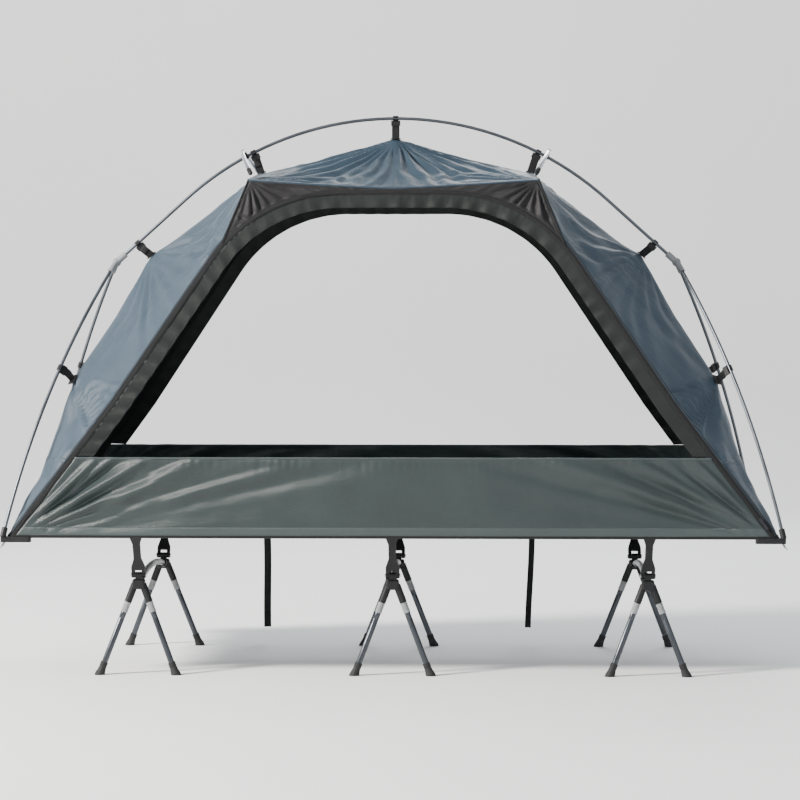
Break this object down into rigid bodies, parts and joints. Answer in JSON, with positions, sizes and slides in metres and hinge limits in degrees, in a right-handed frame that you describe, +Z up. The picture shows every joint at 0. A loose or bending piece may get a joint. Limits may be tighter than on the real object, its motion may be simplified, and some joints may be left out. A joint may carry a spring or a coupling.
{
  "type": "folding tent cot",
  "caption": "Off-ground sleeping cot on folding leg sets with a one-person pole tent over it, both side doors open.",
  "frame": {"origin": "on the floor under the middle of the cot", "axes": "+X along the cot, +Y from the door side seen first to the other, +Z up"},
  "size_m": [1.969, 0.718, 1.42],
  "materials": {
    "dark_anodised_tube": "dark anodised, satin",
    "leg_tube": "dark grey anodised, satin",
    "pole_tube": "dark grey anodised, satin",
    "silver_tube": "clear anodised",
    "black_plastic": "moulded nylon, fine texture",
    "grey_plastic": "moulded nylon",
    "steel_pin": "plated",
    "bed_cloth": "heavy plain weave",
    "roof_cloth": "coated plain weave, slight sheen",
    "end_cloth": "coated plain weave, slight sheen",
    "skirt_cloth": "coated plain weave, silvery sheen",
    "gusset_cloth": "coated plain weave",
    "floor_cloth": "coated plain weave",
    "door_cloth": "fine mesh and plain weave",
    "zipper_tape": "woven tape with coil teeth",
    "zipper_metal": "black lacquer, worn",
    "black_webbing": "woven webbing",
    "grey_webbing": "woven webbing"
  },
  "bodies": {
    "frame": {"rail_near": "dark_anodised_tube", "rail_far": "dark_anodised_tube", "bed_fabric": "bed_cloth", "corner_fittings": "black_plastic", "corner_tabs": "grey_webbing", "hanging_straps": "black_webbing", "cross_bar_left": "dark_anodised_tube", "hub_near_left": "black_plastic", "hub_far_left": "black_plastic", "cross_bar_middle": "dark_anodised_tube", "hub_near_middle": "black_plastic", "hub_far_middle": "black_plastic", "cross_bar_right": "dark_anodised_tube", "hub_near_right": "black_plastic", "hub_far_right": "black_plastic", "lever_pins": "steel_pin", "ridge_pole": "pole_tube", "strut_swivels": "black_plastic", "pole_hub_left": "grey_plastic", "branch_pole_near_left": "pole_tube", "branch_pole_far_left": "pole_tube", "pole_hub_right": "grey_plastic", "branch_pole_near_right": "pole_tube", "branch_pole_far_right": "pole_tube", "pole_clips": "black_plastic", "clip_straps": "black_webbing", "roof_panel": "roof_cloth", "end_panel_left": "end_cloth", "end_panel_right": "end_cloth", "tent_floor": "floor_cloth", "skirt_near": "skirt_cloth", "gusset_near": "gusset_cloth", "zipper_near": "zipper_tape", "door_near": "door_cloth", "skirt_far": "skirt_cloth", "gusset_far": "gusset_cloth", "zipper_far": "zipper_tape", "door_far": "door_cloth"},
    "lever_near_left": {"lever_near_left": "black_plastic"},
    "leg_near_left_a": {"leg_near_left_a": "leg_tube"},
    "leg_near_left_b": {"leg_near_left_b": "leg_tube"},
    "lever_far_left": {"lever_far_left": "black_plastic"},
    "leg_far_left_a": {"leg_far_left_a": "leg_tube"},
    "leg_far_left_b": {"leg_far_left_b": "leg_tube"},
    "lever_near_middle": {"lever_near_middle": "black_plastic"},
    "leg_near_middle_a": {"leg_near_middle_a": "leg_tube"},
    "leg_near_middle_b": {"leg_near_middle_b": "leg_tube"},
    "lever_far_middle": {"lever_far_middle": "black_plastic"},
    "leg_far_middle_a": {"leg_far_middle_a": "leg_tube"},
    "leg_far_middle_b": {"leg_far_middle_b": "leg_tube"},
    "lever_near_right": {"lever_near_right": "black_plastic"},
    "leg_near_right_a": {"leg_near_right_a": "leg_tube"},
    "leg_near_right_b": {"leg_near_right_b": "leg_tube"},
    "lever_far_right": {"lever_far_right": "black_plastic"},
    "leg_far_right_a": {"leg_far_right_a": "leg_tube"},
    "leg_far_right_b": {"leg_far_right_b": "leg_tube"},
    "brow_strut_left": {"brow_strut_left": "silver_tube"},
    "brow_strut_right": {"brow_strut_right": "silver_tube"},
    "zipper_slider_near": {"zipper_slider_near": "zipper_metal"},
    "zipper_slider_far": {"zipper_slider_far": "zipper_metal"}
  },
  "joints": [
    {"name": "lever_near_left_swing", "type": "hinge", "parent": "frame", "child": "lever_near_left", "pos_m": [-0.64, -0.265, 0.249], "axis": [1, 0, 0], "range_deg": [0, 80]},
    {"name": "leg_near_left_a_pull", "type": "slide", "parent": "frame", "child": "leg_near_left_a", "axis": [-0.3538, -0.1028, -0.9297], "range_m": [0, 0.03], "stiffness_N_per_m": 60, "springref_m": -0.03},
    {"name": "leg_near_left_b_pull", "type": "slide", "parent": "frame", "child": "leg_near_left_b", "axis": [0.3538, -0.1028, -0.9297], "range_m": [0, 0.03], "stiffness_N_per_m": 60, "springref_m": -0.03},
    {"name": "lever_far_left_swing", "type": "hinge", "parent": "frame", "child": "lever_far_left", "pos_m": [-0.64, 0.265, 0.249], "axis": [-1, 0, 0], "range_deg": [0, 80]},
    {"name": "leg_far_left_a_pull", "type": "slide", "parent": "frame", "child": "leg_far_left_a", "axis": [-0.3538, 0.1028, -0.9297], "range_m": [0, 0.03], "stiffness_N_per_m": 60, "springref_m": -0.03},
    {"name": "leg_far_left_b_pull", "type": "slide", "parent": "frame", "child": "leg_far_left_b", "axis": [0.3538, 0.1028, -0.9297], "range_m": [0, 0.03], "stiffness_N_per_m": 60, "springref_m": -0.03},
    {"name": "lever_near_middle_swing", "type": "hinge", "parent": "frame", "child": "lever_near_middle", "pos_m": [0, -0.265, 0.249], "axis": [1, 0, 0], "range_deg": [0, 80]},
    {"name": "leg_near_middle_a_pull", "type": "slide", "parent": "frame", "child": "leg_near_middle_a", "axis": [-0.3538, -0.1028, -0.9297], "range_m": [0, 0.03], "stiffness_N_per_m": 60, "springref_m": -0.03},
    {"name": "leg_near_middle_b_pull", "type": "slide", "parent": "frame", "child": "leg_near_middle_b", "axis": [0.3538, -0.1028, -0.9297], "range_m": [0, 0.03], "stiffness_N_per_m": 60, "springref_m": -0.03},
    {"name": "lever_far_middle_swing", "type": "hinge", "parent": "frame", "child": "lever_far_middle", "pos_m": [0, 0.265, 0.249], "axis": [-1, 0, 0], "range_deg": [0, 80]},
    {"name": "leg_far_middle_a_pull", "type": "slide", "parent": "frame", "child": "leg_far_middle_a", "axis": [-0.3538, 0.1028, -0.9297], "range_m": [0, 0.03], "stiffness_N_per_m": 60, "springref_m": -0.03},
    {"name": "leg_far_middle_b_pull", "type": "slide", "parent": "frame", "child": "leg_far_middle_b", "axis": [0.3538, 0.1028, -0.9297], "range_m": [0, 0.03], "stiffness_N_per_m": 60, "springref_m": -0.03},
    {"name": "lever_near_right_swing", "type": "hinge", "parent": "frame", "child": "lever_near_right", "pos_m": [0.64, -0.265, 0.249], "axis": [1, 0, 0], "range_deg": [0, 80]},
    {"name": "leg_near_right_a_pull", "type": "slide", "parent": "frame", "child": "leg_near_right_a", "axis": [-0.3538, -0.1028, -0.9297], "range_m": [0, 0.03], "stiffness_N_per_m": 60, "springref_m": -0.03},
    {"name": "leg_near_right_b_pull", "type": "slide", "parent": "frame", "child": "leg_near_right_b", "axis": [0.3538, -0.1028, -0.9297], "range_m": [0, 0.03], "stiffness_N_per_m": 60, "springref_m": -0.03},
    {"name": "lever_far_right_swing", "type": "hinge", "parent": "frame", "child": "lever_far_right", "pos_m": [0.64, 0.265, 0.249], "axis": [-1, 0, 0], "range_deg": [0, 80]},
    {"name": "leg_far_right_a_pull", "type": "slide", "parent": "frame", "child": "leg_far_right_a", "axis": [-0.3538, 0.1028, -0.9297], "range_m": [0, 0.03], "stiffness_N_per_m": 60, "springref_m": -0.03},
    {"name": "leg_far_right_b_pull", "type": "slide", "parent": "frame", "child": "leg_far_right_b", "axis": [0.3538, 0.1028, -0.9297], "range_m": [0, 0.03], "stiffness_N_per_m": 60, "springref_m": -0.03},
    {"name": "brow_strut_left_swivel", "type": "hinge", "parent": "frame", "child": "brow_strut_left", "pos_m": [-0.39, 0, 1.31432], "axis": [-0.4756, 0, 0.8797], "range_deg": [-75, 75]},
    {"name": "brow_strut_right_swivel", "type": "hinge", "parent": "frame", "child": "brow_strut_right", "pos_m": [0.39, 0, 1.31432], "axis": [0.4756, 0, 0.8797], "range_deg": [-75, 75]},
    {"name": "zipper_slider_near_run", "type": "slide", "parent": "frame", "child": "zipper_slider_near", "axis": [-0.5934, 0.1254, 0.7951], "range_m": [0, 0.33]},
    {"name": "zipper_slider_far_run", "type": "slide", "parent": "frame", "child": "zipper_slider_far", "axis": [-0.5934, -0.1254, 0.7951], "range_m": [0, 0.33]}
  ]
}
